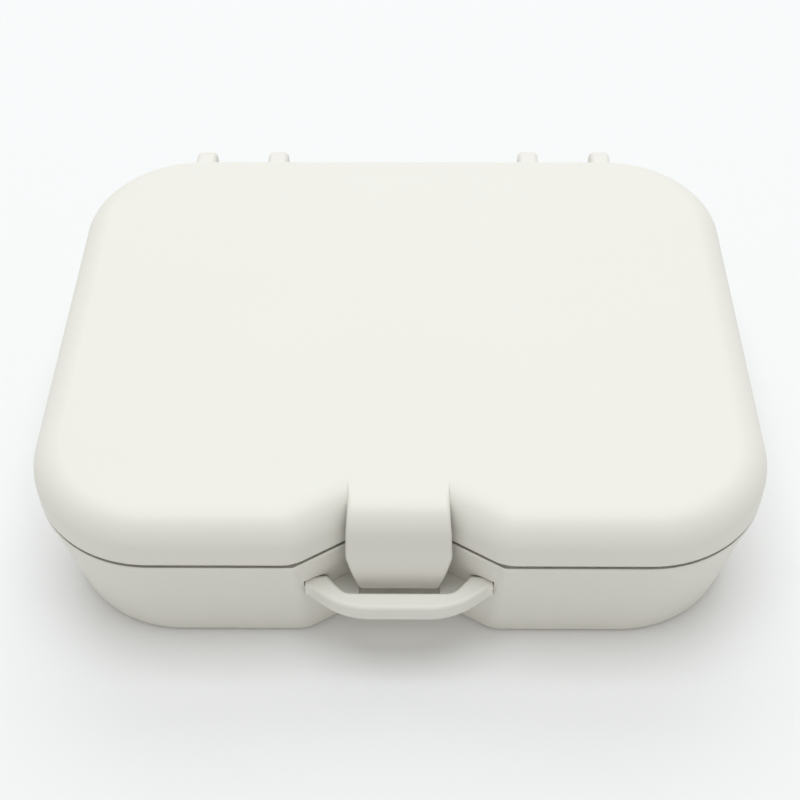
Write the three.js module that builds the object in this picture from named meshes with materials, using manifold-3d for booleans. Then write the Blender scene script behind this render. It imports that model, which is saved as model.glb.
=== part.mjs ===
// A hinged denture case: a tapered base, a rounded lid with a mirror, a snap tab and a small carry handle.
// Millimetres, +X to the right, +Y to the back, +Z up. The origin is the middle of the flat underside.
import * as THREE from "three";
import { mergeVertices } from "three/addons/utils/BufferGeometryUtils.js";
import Module from "manifold-3d";

const wasm = await Module();
wasm.setup();

// Driving dimensions of the closed case
const caseLength = 120;
const caseDepth = 96;
const rimHeight = 21.1;
const lidTop = 30.4;
const cornerRadius = 20.5;
const wall = 2;
const floorThickness = 2;
const ceilingThickness = 1.8;
const partingGap = 0.5;
const clearance = 0.3;
const overrun = 1;

// The notch in the front, where the snap tab and the handle sit
const notchMouth = 33.2;
const notchWidth = 14;
const notchDepth = 6;
const lidMouthRounding = 7;
const baseMouthRounding = 1.5;
const footMouthRounding = 6;
const notchBackRounding = 1.2;

// How the two mouldings close on each other
const baseTaper = 3;
const notchTaper = 1.9;
const footRounding = 1;
const rimChamfer = 0.7;
const edgeBreak = 0.4;
const tongueInset = 1.2;
const tongueHeight = 1.6;
const tongueEase = 0.05;
const lidRounding = 4.7;
const innerRounding = 2.6;
const leastRounding = 0.4;
const wallLimitShare = 0.9;

// Facets
const cornerSteps = 9;
const smallSteps = 4;
const filletSteps = 5;
const roundSteps = 20;

// Moulded plastic, mirror, pins and foam
const plastic = { color: "#e3e1d8", roughness: 0.48, metalness: 0 };
const traySurface = { color: "#e9e8e1", roughness: 0.42, metalness: 0 };
const mirrorSurface = { color: "#dfe4e6", roughness: 0.04, metalness: 1 };
const foamSurface = { color: "#f4f4f0", roughness: 0.9, metalness: 0 };
const pinSurface = { color: "#b9bcbf", roughness: 0.3, metalness: 1 };

// Places that follow from the driving dimensions
const frontY = -caseDepth / 2;
const backY = caseDepth / 2;
const lidBottom = rimHeight + partingGap;
const ceiling = lidTop - ceilingThickness;
const notchSlope = notchDepth / (notchMouth / 2 - notchWidth / 2);
const notchSlant = Math.atan(notchSlope);
const notchBackY = frontY + notchDepth;
const rebateTop = rimHeight + tongueHeight + clearance;
const crownRounding = Math.min(lidRounding, (lidTop - lidBottom) * wallLimitShare);
const domeRounding = Math.min(innerRounding, (ceiling - rebateTop) * wallLimitShare);

// A closed outline with rounded corners. Each corner keeps its number of points, so outlines can be lofted.
function roundedOutline(corners) {
  const points = [];
  corners.forEach((corner, index) => {
    const at = new THREE.Vector2(corner.x, corner.y);
    const last = corners[(index + corners.length - 1) % corners.length];
    const next = corners[(index + 1) % corners.length];
    const toLast = new THREE.Vector2(last.x, last.y).sub(at).normalize();
    const toNext = new THREE.Vector2(next.x, next.y).sub(at).normalize();
    if (!corner.radius) {
      points.push(at);
      return;
    }
    const half = Math.acos(toLast.dot(toNext)) / 2;
    const reach = corner.radius / Math.sin(half);
    const centre = toLast.clone().add(toNext).normalize().multiplyScalar(reach).add(at);
    const start = toLast.clone().multiplyScalar(corner.radius / Math.tan(half)).add(at).sub(centre);
    const turn = Math.PI - 2 * half;
    const side = Math.sign(toLast.cross(toNext));
    for (let step = 0; step <= corner.steps; step += 1) {
      const spoke = start.clone().rotateAround(new THREE.Vector2(), (-side * turn * step) / corner.steps);
      points.push(spoke.add(centre));
    }
  });
  return points;
}

// Half the width of the notch at a depth y, with its slanted walls moved back by an inset
function notchHalfWidth(y, inset) {
  return notchMouth / 2 + inset / Math.sin(notchSlant) - (y - frontY) / notchSlope;
}

// The case seen from above: a rounded rectangle with the notch in its front, drawn in by an inset.
// A draft moves the sides and the walls of the notch, and leaves the roundings as they are.
function caseOutline(inset, mouthRounding, draft = { side: 0, notch: 0 }) {
  const x = caseLength / 2 - inset - draft.side;
  const y = caseDepth / 2 - inset - draft.side;
  const notchInset = inset + draft.notch;
  const insideY = notchBackY + notchInset;
  const mouthX = notchHalfWidth(-y, notchInset);
  const insideX = notchHalfWidth(insideY, notchInset);
  const corner = { radius: Math.max(cornerRadius - inset, leastRounding), steps: cornerSteps };
  const mouth = { radius: Math.max(mouthRounding - inset, leastRounding), steps: smallSteps };
  const inside = { radius: notchBackRounding + inset, steps: smallSteps };
  return roundedOutline([
    { x: insideX, y: insideY, ...inside },
    { x: mouthX, y: -y, ...mouth },
    { x, y: -y, ...corner },
    { x, y, ...corner },
    { x: -x, y, ...corner },
    { x: -x, y: -y, ...corner },
    { x: -mouthX, y: -y, ...mouth },
    { x: -insideX, y: insideY, ...inside },
  ]);
}

// A rounded rectangle between two corners
function rectangleOutline(low, high, radius, steps = cornerSteps) {
  const corner = { radius, steps };
  return roundedOutline([
    { x: low.x, y: low.y, ...corner },
    { x: high.x, y: low.y, ...corner },
    { x: high.x, y: high.y, ...corner },
    { x: low.x, y: high.y, ...corner },
  ]);
}

// A closed body through outlines stacked from the bottom up
function loft(rings) {
  const count = rings[0].outline.length;
  const positions = rings.flatMap(({ outline, z }) => outline.flatMap((point) => [point.x, point.y, z]));
  const faces = [];
  for (let level = 0; level + 1 < rings.length; level += 1) {
    for (let k = 0; k < count; k += 1) {
      const a = level * count + k;
      const b = level * count + ((k + 1) % count);
      faces.push(a, b, b + count, a, b + count, a + count);
    }
  }
  const above = (rings.length - 1) * count;
  THREE.ShapeUtils.triangulateShape(rings[0].outline, []).forEach(([a, b, c]) => faces.push(c, b, a));
  THREE.ShapeUtils.triangulateShape(rings[rings.length - 1].outline, []).forEach(([a, b, c]) => {
    faces.push(above + a, above + b, above + c);
  });
  const geometry = new THREE.BufferGeometry();
  geometry.setAttribute("position", new THREE.Float32BufferAttribute(positions, 3));
  geometry.setIndex(faces);
  return toSolid(geometry);
}

// Geometry to solid, for joins and cuts
function toSolid(geometry) {
  const plain = geometry.clone();
  plain.deleteAttribute("normal");
  plain.deleteAttribute("uv");
  const merged = mergeVertices(plain);
  const vertProperties = new Float32Array(merged.attributes.position.array);
  const triVerts = new Uint32Array(merged.index.array);
  return new wasm.Manifold(new wasm.Mesh({ numProp: 3, vertProperties, triVerts }));
}

// Solid to a named mesh with its own material
function toMesh(name, solid, surface) {
  const { vertProperties, triVerts, numProp } = solid.getMesh();
  const positions = [];
  triVerts.forEach((vertex) => {
    const start = vertex * numProp;
    positions.push(vertProperties[start], vertProperties[start + 1], vertProperties[start + 2]);
  });
  const geometry = new THREE.BufferGeometry();
  geometry.setAttribute("position", new THREE.Float32BufferAttribute(positions, 3));
  geometry.computeVertexNormals();
  const mesh = new THREE.Mesh(geometry, new THREE.MeshStandardMaterial(surface));
  mesh.name = name;
  return mesh;
}

function extrude(points, depth) {
  return new THREE.ExtrudeGeometry(new THREE.Shape(points), { depth, bevelEnabled: false, steps: 1 });
}

// A side view (y, z) drawn out along X, centred on a place
function acrossX(points, centre, width) {
  const [x, y, z] = [new THREE.Vector3(1, 0, 0), new THREE.Vector3(0, 1, 0), new THREE.Vector3(0, 0, 1)];
  const turn = new THREE.Matrix4().makeBasis(y, z, x);
  return toSolid(extrude(points, width).applyMatrix4(turn).translate(centre - width / 2, 0, 0));
}

// A front view (x, z) drawn out along Y, from the front to the back
function alongY(points, from, to) {
  return toSolid(extrude(points, to - from).rotateX(Math.PI / 2).translate(0, to, 0));
}

// A plan (x, y) drawn up along Z
function upZ(points, from, to) {
  return toSolid(extrude(points, to - from).translate(0, 0, from));
}

function block(low, high) {
  const size = new THREE.Vector3().subVectors(high, low);
  const centre = new THREE.Vector3().addVectors(low, high).multiplyScalar(1 / 2);
  return toSolid(new THREE.BoxGeometry(size.x, size.y, size.z).translate(centre.x, centre.y, centre.z));
}

// A round bar along X between two places
function barAlongX(radius, from, to, y, z) {
  const bar = new THREE.CylinderGeometry(radius, radius, to - from, roundSteps).rotateZ(Math.PI / 2);
  return toSolid(bar.translate((from + to) / 2, y, z));
}

function joined(solids) {
  return solids.reduce((whole, solid) => whole.add(solid));
}

function mirrored(solid) {
  return solid.add(solid.mirror([1, 0, 0]));
}

// Rings of a quarter round. At share 0 the outline is drawn in by the whole radius, at share 1 by nothing.
function quarterRound(radius) {
  return Array.from({ length: filletSteps + 1 }, (_, step) => {
    const angle = (step / filletSteps) * (Math.PI / 2);
    return { inset: radius * (1 - Math.sin(angle)), rise: radius * (1 - Math.cos(angle)) };
  });
}

// Taper of the base at a height, on its sides and on the walls of the notch
function baseTaperAt(z) {
  return baseTaper * (1 - z / rimHeight);
}

function notchTaperAt(z) {
  return notchTaper * (1 - z / rimHeight);
}

// A ring of the tapered base. Its outside is crisp at the notch's mouth near the rim and round at the foot.
function baseRing(z, inset, mouthRounding = lidMouthRounding) {
  const draft = { side: baseTaperAt(z), notch: notchTaperAt(z) };
  return { outline: caseOutline(inset, mouthRounding, draft), z };
}

function straightRing(z, inset, mouthRounding = lidMouthRounding) {
  return { outline: caseOutline(inset, mouthRounding), z };
}

// Hinge: ears of the lid on both sides of a knuckle of the base, on one pin
const hingeOverhang = 3;
const hingeDrop = 0.1;
const earSpacing = 14.4;
const earWidth = 4;
const earRadius = 2.6;
const earTopRadius = 3;
const earTopRise = 3.4;
const earHeelReach = 2.8;
const earHeelDrop = 1.85;
const knuckleRadius = 2.5;
const knuckleGusset = 5.5;
const hingePinRadius = 1;
const hingeBoreRadius = hingePinRadius + clearance;
const knuckleWidth = earSpacing - earWidth - 2 * clearance;
const hingeSpacing = caseLength - 2 * cornerRadius - earSpacing;
const hingeAxisY = backY + hingeOverhang;
const hingeAxisZ = rimHeight - hingeDrop;

// Points of an arc, from one angle to another in degrees
function arc(centreX, centreY, radius, from, to, steps) {
  return Array.from({ length: steps + 1 }, (_, step) => {
    const angle = THREE.MathUtils.degToRad(from + ((to - from) * step) / steps);
    return new THREE.Vector2(centreX + radius * Math.cos(angle), centreY + radius * Math.sin(angle));
  });
}

// Snap tab: a bent plate that starts flush with the lid's top and hangs in the notch
const tabSetback = 2.5;
const tabRootOverlap = 3.8;
const tabThickness = 1.7;
const tabRootThickness = 2.1;
const tabBottom = 12.3;
const tabRounding = 4.4;
const tabCurlHeight = 1.6;
const tabCurl = 0.5;
const tabWidth = 17;
const tabRootWidth = 16;
const tabShoulder = 20.5;
const tabShoulderRounding = 1.5;
const tabTipWidth = 11.7;
const tabTipRounding = 0.8;
const hookWidth = 8;
const hookTop = 17.3;
const hookHeight = 2.2;
const hookReach = 0.6;
const tabFrontY = frontY + tabSetback;
const tabRootY = notchBackY + tabRootOverlap;

// Catch rib on the base, which the hook of the tab snaps past
const catchBottom = hookTop + clearance;
const catchHeight = 1.8;
const catchMargin = 1;
const catchWidth = hookWidth + 2 * catchMargin;
const catchTipY = tabFrontY + tabThickness + hookReach + clearance;

// Carry handle: a strap bent round the front of the notch, on two short pins
const handleThickness = 3.1;
const strapWidth = 2.7;
const handleReach = 3.3;
const handleFlat = 17.4;
const handleArmAngle = THREE.MathUtils.degToRad(37.5);
const handleBend = 12;
const handleSpan = 29.4;
const handlePinRadius = 0.65;
const handlePinLength = 2.2;
const handleBoreRadius = 0.95;
const pivotSetback = 2.3;
const pocketRadius = 2.05;
const knuckleLength = 2.6;
const bossWall = 1.4;

// Ledge in the notch, which the handle rests on
const ledgeTop = 11.9;
const ledgeThickness = 1.8;
const ledgeSetback = 2.2;

const pivotY = frontY + pivotSetback;
const pivotZ = ledgeTop + clearance + handleThickness / 2;
const handlePinEnd = handleSpan / 2 + handlePinLength;

// Partition between the denture well and the brush bay
const partitionY = 20;
const partitionThickness = 1.6;
const partitionTop = 18;

function handlePocket() {
  const start = handleSpan / 2 - knuckleLength - 2 * clearance;
  const pocket = barAlongX(pocketRadius, start, handleSpan / 2 + clearance, pivotY, pivotZ);
  const bore = barAlongX(handleBoreRadius, handleSpan / 2, handlePinEnd + clearance, pivotY, pivotZ);
  return mirrored(pocket.add(bore));
}

function pivotBoss(outside) {
  const around = pocketRadius + bossWall;
  const low = new THREE.Vector3(handleSpan / 2 - knuckleLength - 2 * bossWall, frontY, pivotZ - around);
  const high = new THREE.Vector3(handlePinEnd + clearance + bossWall, pivotY + around, pivotZ + around);
  return mirrored(block(low, high)).intersect(outside);
}

function ledge() {
  const inset = notchTaperAt(ledgeTop) + wall / 2;
  const nearY = frontY + ledgeSetback;
  const farY = notchBackY + inset;
  const near = notchHalfWidth(nearY, inset);
  const far = notchHalfWidth(farY, inset);
  const plan = [
    new THREE.Vector2(near, nearY),
    new THREE.Vector2(far, farY),
    new THREE.Vector2(-far, farY),
    new THREE.Vector2(-near, nearY),
  ];
  return upZ(plan, ledgeTop - ledgeThickness, ledgeTop);
}

function catchRib() {
  const wallY = notchBackY + notchTaperAt(catchBottom) + wall / 2;
  const bevel = catchHeight / 3;
  const profile = [
    new THREE.Vector2(wallY, catchBottom),
    new THREE.Vector2(wallY, catchBottom + catchHeight),
    new THREE.Vector2(catchTipY + bevel, catchBottom + catchHeight),
    new THREE.Vector2(catchTipY, catchBottom + catchHeight - bevel),
    new THREE.Vector2(catchTipY, catchBottom + bevel / 2),
    new THREE.Vector2(catchTipY + bevel, catchBottom),
  ];
  return acrossX(profile, 0, catchWidth);
}

function hingeKnuckles() {
  const rootY = backY - wall / 2 - baseTaperAt(hingeAxisZ - knuckleGusset);
  const profile = [
    new THREE.Vector2(rootY, hingeAxisZ - knuckleGusset),
    ...arc(hingeAxisY, hingeAxisZ, knuckleRadius, -50, 150, roundSteps / 2),
    new THREE.Vector2(hingeAxisY - knuckleRadius, rimHeight - clearance),
    new THREE.Vector2(rootY, rimHeight - clearance),
  ];
  return mirrored(acrossX(profile, hingeSpacing / 2, knuckleWidth));
}

function hingeBores() {
  const reach = earSpacing / 2 + earWidth / 2 + overrun;
  const middle = hingeSpacing / 2;
  return mirrored(barAlongX(hingeBoreRadius, middle - reach, middle + reach, hingeAxisY, hingeAxisZ));
}

function baseShell() {
  const foot = quarterRound(footRounding).map(({ inset, rise }) => baseRing(rise, inset, footMouthRounding));
  const outside = loft([
    ...foot,
    baseRing(rimHeight - rimChamfer, 0, baseMouthRounding),
    straightRing(rimHeight, rimChamfer, baseMouthRounding),
    straightRing(rimHeight, tongueInset),
    straightRing(rimHeight + tongueHeight - edgeBreak, tongueInset),
    straightRing(rimHeight + tongueHeight, tongueInset + edgeBreak / 2),
  ]);
  const well = quarterRound(innerRounding).map(({ inset, rise }) => {
    return baseRing(floorThickness + rise, wall + inset);
  });
  const cavity = loft([
    ...well,
    straightRing(rimHeight, wall),
    straightRing(rimHeight + tongueHeight + overrun, wall),
  ]);
  const partitionHalf = partitionThickness / 2;
  const partitionLow = new THREE.Vector3(-caseLength / 2, partitionY - partitionHalf, floorThickness / 2);
  const partitionHigh = new THREE.Vector3(caseLength / 2, partitionY + partitionHalf, partitionTop);
  const partition = block(partitionLow, partitionHigh).intersect(outside);
  const shell = outside.subtract(cavity);
  const body = joined([shell, partition, pivotBoss(outside), ledge(), catchRib(), hingeKnuckles()]);
  return toMesh("base_shell", body.subtract(handlePocket()).subtract(hingeBores()), plastic);
}

// Mirror in the lid: foam pad, glass and a bezel inside a low frame of ribs
const mirrorLength = 74;
const mirrorDepth = 46;
const mirrorCentreY = 3;
const mirrorRounding = 6;
const padThickness = 0.6;
const padMargin = 3;
const glassThickness = 1.4;
const bezelWall = 1.4;
const bezelLip = 1.8;
const bezelLipThickness = 1.4;
const frameRib = 1.2;
const frameRibHeight = 2.4;

const padTop = ceiling - clearance;
const glassTop = padTop - padThickness - clearance;
const glassBottom = glassTop - glassThickness;
const bezelSeat = glassBottom - clearance;
const bezelBottom = bezelSeat - bezelLipThickness;

// The mirror's outline, grown or shrunk by a margin
function mirrorOutline(margin) {
  const low = new THREE.Vector2(-mirrorLength / 2 - margin, mirrorCentreY - mirrorDepth / 2 - margin);
  const high = new THREE.Vector2(mirrorLength / 2 + margin, mirrorCentreY + mirrorDepth / 2 + margin);
  return rectangleOutline(low, high, Math.max(mirrorRounding + margin, leastRounding));
}

function earProfile() {
  const topY = hingeAxisY - clearance / 2;
  const topZ = hingeAxisZ + earTopRise;
  const rootY = backY - wall / 2;
  const neckY = hingeAxisY - earRadius;
  return [
    new THREE.Vector2(rootY, lidBottom + clearance),
    new THREE.Vector2(neckY, lidBottom + clearance),
    ...arc(hingeAxisY, hingeAxisZ, earRadius, 180, 290, roundSteps / 2),
    new THREE.Vector2(hingeAxisY + earHeelReach, hingeAxisZ - earHeelDrop),
    ...arc(topY, topZ, earTopRadius, 0, 90, roundSteps / 2),
    new THREE.Vector2(rootY, topZ + earTopRadius),
  ];
}

function hingeEars() {
  const ears = [-earSpacing / 2, earSpacing / 2].map((offset) => {
    return acrossX(earProfile(), hingeSpacing / 2 + offset, earWidth);
  });
  return mirrored(joined(ears));
}

function mirrorFrame() {
  const inner = bezelWall + 2 * clearance;
  const outer = inner + frameRib;
  const ribBottom = ceiling - frameRibHeight;
  const ring = upZ(mirrorOutline(outer), ribBottom, ceiling + ceilingThickness / 2);
  return ring.subtract(upZ(mirrorOutline(inner), ribBottom - overrun, ceiling + ceilingThickness));
}

function lidShell() {
  const rebate = tongueInset - clearance - tongueEase;
  const crown = quarterRound(crownRounding).reverse();
  const outside = loft([
    straightRing(lidBottom, edgeBreak),
    straightRing(lidBottom + edgeBreak, 0),
    ...crown.map(({ inset, rise }) => straightRing(lidTop - rise, inset)),
  ]);
  const dome = quarterRound(domeRounding).reverse();
  const cavity = loft([
    straightRing(lidBottom - overrun, rebate),
    straightRing(rebateTop, rebate),
    straightRing(rebateTop, wall),
    ...dome.map(({ inset, rise }) => straightRing(ceiling - rise, wall + inset)),
  ]);
  const seatHalf = tabRootWidth / 2 + clearance;
  const seatFloor = lidTop - tabRootThickness - clearance;
  const bossLow = new THREE.Vector3(-seatHalf - wall, notchBackY, seatFloor - wall);
  const bossHigh = new THREE.Vector3(seatHalf + wall, tabRootY + clearance + wall, ceiling + clearance);
  const boss = block(bossLow, bossHigh).intersect(outside);
  const seatLow = new THREE.Vector3(-seatHalf, frontY, seatFloor);
  const seatHigh = new THREE.Vector3(seatHalf, tabRootY + clearance, lidTop + overrun);
  const body = joined([outside.subtract(cavity), boss, mirrorFrame(), hingeEars()]);
  return toMesh("lid_shell", body.subtract(block(seatLow, seatHigh)).subtract(hingeBores()), plastic);
}

function mirrorPieces() {
  const pad = upZ(mirrorOutline(-padMargin), padTop - padThickness, padTop);
  const glass = upZ(mirrorOutline(0), glassBottom, glassTop);
  const outer = clearance + bezelWall;
  const bezel = loft([
    { outline: mirrorOutline(outer - edgeBreak), z: bezelBottom },
    { outline: mirrorOutline(outer), z: bezelBottom + edgeBreak },
    { outline: mirrorOutline(outer), z: padTop },
  ]);
  const window = upZ(mirrorOutline(-bezelLip), bezelBottom - overrun, padTop);
  const seat = upZ(mirrorOutline(clearance), bezelSeat, padTop + overrun);
  return [
    toMesh("mirror_pad", pad, foamSurface),
    toMesh("mirror_glass", glass, mirrorSurface),
    toMesh("mirror_bezel", bezel.subtract(window).subtract(seat), plastic),
  ];
}

function latchTab() {
  const innerY = tabFrontY + tabThickness;
  const underside = lidTop - tabRootThickness;
  const bend = { radius: tabRounding, steps: 2 * smallSteps };
  const innerBend = { radius: tabRounding - tabThickness, steps: 2 * smallSteps };
  const tip = { radius: tabThickness / 4, steps: smallSteps };
  const curl = { radius: 2 * tabCurlHeight, steps: smallSteps };
  const side = roundedOutline([
    { x: tabRootY, y: lidTop },
    { x: tabFrontY, y: lidTop, ...bend },
    { x: tabFrontY, y: tabBottom + tabCurlHeight, ...curl },
    { x: tabFrontY + tabCurl, y: tabBottom, ...tip },
    { x: innerY, y: tabBottom, ...tip },
    { x: innerY, y: underside, ...innerBend },
    { x: tabRootY, y: underside },
  ]);
  const plate = acrossX(side, 0, tabWidth + 2 * overrun);
  const hook = acrossX([
    new THREE.Vector2(innerY - tabThickness / 2, hookTop),
    new THREE.Vector2(innerY - tabThickness / 2, hookTop - hookHeight),
    new THREE.Vector2(innerY, hookTop - hookHeight),
    new THREE.Vector2(innerY + hookReach, hookTop - hookHeight / 3),
    new THREE.Vector2(innerY + hookReach, hookTop),
  ], 0, hookWidth);
  const shoulder = { radius: tabShoulderRounding, steps: smallSteps };
  const corner = { radius: tabTipRounding, steps: smallSteps };
  const front = roundedOutline([
    { x: -tabTipWidth / 2, y: tabBottom - overrun / 2, ...corner },
    { x: tabTipWidth / 2, y: tabBottom - overrun / 2, ...corner },
    { x: tabWidth / 2, y: tabShoulder, ...shoulder },
    { x: tabWidth / 2, y: lidTop - tabRounding },
    { x: tabRootWidth / 2, y: lidTop + overrun },
    { x: -tabRootWidth / 2, y: lidTop + overrun },
    { x: -tabWidth / 2, y: lidTop - tabRounding },
    { x: -tabWidth / 2, y: tabShoulder, ...shoulder },
  ]);
  const trim = alongY(front, frontY, tabRootY + overrun);
  return toMesh("latch_tab", plate.intersect(trim).add(hook), plastic);
}

function carryHandle() {
  const outerY = frontY - handleReach;
  const innerY = outerY + strapWidth;
  const rise = pivotY - outerY;
  const inward = strapWidth * Math.tan(handleArmAngle / 2);
  const outerX = handleFlat / 2;
  const innerX = outerX - inward;
  const outerEnd = outerX + (rise + overrun) / Math.tan(handleArmAngle);
  const innerEnd = innerX + (rise + overrun - strapWidth) / Math.tan(handleArmAngle);
  const bend = { radius: handleBend, steps: 2 * smallSteps };
  const innerBend = { radius: handleBend - strapWidth, steps: 2 * smallSteps };
  const plan = roundedOutline([
    { x: -outerX, y: outerY, ...bend },
    { x: outerX, y: outerY, ...bend },
    { x: outerEnd, y: pivotY + overrun },
    { x: innerEnd, y: pivotY + overrun },
    { x: innerX, y: innerY, ...innerBend },
    { x: -innerX, y: innerY, ...innerBend },
    { x: -innerEnd, y: pivotY + overrun },
    { x: -outerEnd, y: pivotY + overrun },
  ]);
  const strap = upZ(plan, pivotZ - handleThickness / 2, pivotZ + handleThickness / 2);
  const low = new THREE.Vector3(-handleSpan / 2, outerY - overrun, pivotZ - handleThickness);
  const high = new THREE.Vector3(handleSpan / 2, pivotY, pivotZ + handleThickness);
  const knuckleStart = handleSpan / 2 - knuckleLength;
  const knuckle = barAlongX(handleThickness / 2, knuckleStart, handleSpan / 2, pivotY, pivotZ);
  const pin = barAlongX(handlePinRadius, knuckleStart, handlePinEnd, pivotY, pivotZ);
  const ends = mirrored(knuckle.add(pin));
  return toMesh("carry_handle", strap.intersect(block(low, high)).add(ends), plastic);
}

function hingePins() {
  const half = earSpacing / 2 + earWidth / 2;
  const lead = hingePinRadius / 3;
  return [-1, 1].map((side) => {
    const centre = (side * hingeSpacing) / 2;
    const profile = [
      new THREE.Vector2(0, -half),
      new THREE.Vector2(hingePinRadius - lead, -half),
      new THREE.Vector2(hingePinRadius, -half + lead),
      new THREE.Vector2(hingePinRadius, half - lead),
      new THREE.Vector2(hingePinRadius - lead, half),
      new THREE.Vector2(0, half),
    ];
    const pin = new THREE.LatheGeometry(profile, roundSteps).rotateZ(Math.PI / 2);
    const name = side < 0 ? "hinge_pin_left" : "hinge_pin_right";
    return toMesh(name, toSolid(pin.translate(centre, hingeAxisY, hingeAxisZ)), pinSurface);
  });
}

// Drain tray: a shallow slotted basket on four feet, which lifts out of the denture well
const trayMargin = 1.2;
const trayFoot = 2.4;
const trayHeight = 9;
const trayWall = 1.2;
const trayTaper = 1;
const trayRounding = 14;
const trayFootRadius = 2.6;
const trayFootTaperShare = 0.8;
const traySlotLength = 12;
const traySlotWidth = 2.4;
const traySlotRounding = 1.1;
const traySlotPitchX = 16.4;
const traySlotPitchY = 6.4;
const trayBorder = 7;

const trayBottom = floorThickness + clearance + trayFoot;
const trayLow = new THREE.Vector2(
  -caseLength / 2 + baseTaper + wall + 2 * trayMargin,
  notchBackY + notchTaper + wall + trayMargin,
);
const trayHigh = new THREE.Vector2(-trayLow.x, partitionY - partitionThickness / 2 - trayMargin);

function trayOutline(inset) {
  const low = trayLow.clone().addScalar(inset);
  const high = trayHigh.clone().subScalar(inset);
  return rectangleOutline(low, high, Math.max(trayRounding - inset, leastRounding));
}

// Centres of a row of slots that fits a length, spread evenly about its middle
function slotCentres(low, high, pitch) {
  const count = Math.max(Math.floor((high - low) / pitch), 1);
  return Array.from({ length: count }, (_, k) => (low + high) / 2 + (k - (count - 1) / 2) * pitch);
}

function drainTray() {
  const top = trayBottom + trayHeight;
  const outside = loft([
    { outline: trayOutline(trayTaper + edgeBreak), z: trayBottom },
    { outline: trayOutline(trayTaper), z: trayBottom + edgeBreak },
    { outline: trayOutline(0), z: top },
  ]);
  const inside = loft([
    { outline: trayOutline(trayTaper + trayWall + edgeBreak), z: trayBottom + trayWall },
    { outline: trayOutline(trayTaper + trayWall), z: trayBottom + trayWall + edgeBreak },
    { outline: trayOutline(trayWall), z: top + overrun },
  ]);
  const slotHigh = new THREE.Vector2(traySlotLength / 2, traySlotWidth / 2);
  const slot = rectangleOutline(slotHigh.clone().negate(), slotHigh, traySlotRounding, smallSteps);
  const cut = upZ(slot, trayBottom - overrun, trayBottom + trayWall + overrun);
  const across = slotCentres(trayLow.x + trayBorder, trayHigh.x - trayBorder, traySlotPitchX);
  const deep = slotCentres(trayLow.y + trayBorder, trayHigh.y - trayBorder, traySlotPitchY);
  const slots = across.flatMap((x) => deep.map((y) => cut.translate([x, y, 0])));
  const footX = trayHigh.x - trayRounding;
  const footY = [trayLow.y + trayRounding, trayHigh.y - trayRounding];
  const feet = [-footX, footX].flatMap((x) => footY.map((y) => {
    const height = trayFoot + trayWall / 2;
    const tip = trayFootRadius * trayFootTaperShare;
    const foot = new THREE.CylinderGeometry(trayFootRadius, tip, height, roundSteps).rotateX(Math.PI / 2);
    return toSolid(foot.translate(x, y, trayBottom - trayFoot + height / 2));
  }));
  const basket = outside.subtract(inside).subtract(joined(slots));
  return toMesh("drain_tray", joined([basket, ...feet]), traySurface);
}

const dentureCase = new THREE.Group();
const closing = new THREE.Group();
closing.add(lidShell(), ...mirrorPieces(), latchTab());
dentureCase.add(baseShell(), drainTray(), ...hingePins(), carryHandle(), closing);

export default dentureCase;
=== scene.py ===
# %% [markdown]
# # A hinged denture case in moulded plastic
# The case is two thin mouldings: a tapered base and a rounded lid. A snap tab hangs from the lid into a
# notch in the front, and a small handle bends round the notch. Inside are a mirror, a drain tray and a
# narrow bay behind a partition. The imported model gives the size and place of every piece. This script
# makes the fine surfaces around it.

# %% Load the frame
import math

import bpy
import numpy as np
from mathutils import Matrix, Vector


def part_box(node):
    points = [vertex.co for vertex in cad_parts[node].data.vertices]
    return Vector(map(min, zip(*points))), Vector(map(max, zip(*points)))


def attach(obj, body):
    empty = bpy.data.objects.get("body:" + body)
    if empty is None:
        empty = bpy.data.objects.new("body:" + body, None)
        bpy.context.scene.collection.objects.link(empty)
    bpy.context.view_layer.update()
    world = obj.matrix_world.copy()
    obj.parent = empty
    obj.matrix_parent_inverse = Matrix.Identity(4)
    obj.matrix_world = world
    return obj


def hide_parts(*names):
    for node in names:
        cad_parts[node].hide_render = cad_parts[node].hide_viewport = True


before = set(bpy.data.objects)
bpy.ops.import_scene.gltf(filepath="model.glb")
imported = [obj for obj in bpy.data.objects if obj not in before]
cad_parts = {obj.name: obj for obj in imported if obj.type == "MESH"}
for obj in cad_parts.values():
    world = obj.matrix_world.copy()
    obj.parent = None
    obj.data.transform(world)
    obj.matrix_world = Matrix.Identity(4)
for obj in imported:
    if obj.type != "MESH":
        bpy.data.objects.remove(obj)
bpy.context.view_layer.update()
MM = 0.001


def in_mm(length):
    return round(length / MM, 2)


# %% [markdown]
# ## Camera
# The photograph looks down at the case from the front, a little to its right. Setting the camera first
# means that every later choice can be judged in the same view.

# %% Camera
CAMERA_PLACE = Vector((2.58, -185.5, 203.5)) * MM
CAMERA_DOWN = 0.808
CAMERA_YAW = -0.0154
CAMERA_ROLL = -0.0092
FOCAL_PIXELS = 1446
FRAME_PIXELS = 800


def add_object(name, data):
    """A new object in the scene, at the origin."""
    thing = bpy.data.objects.new(name, data)
    bpy.context.scene.collection.objects.link(thing)
    return thing


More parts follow.
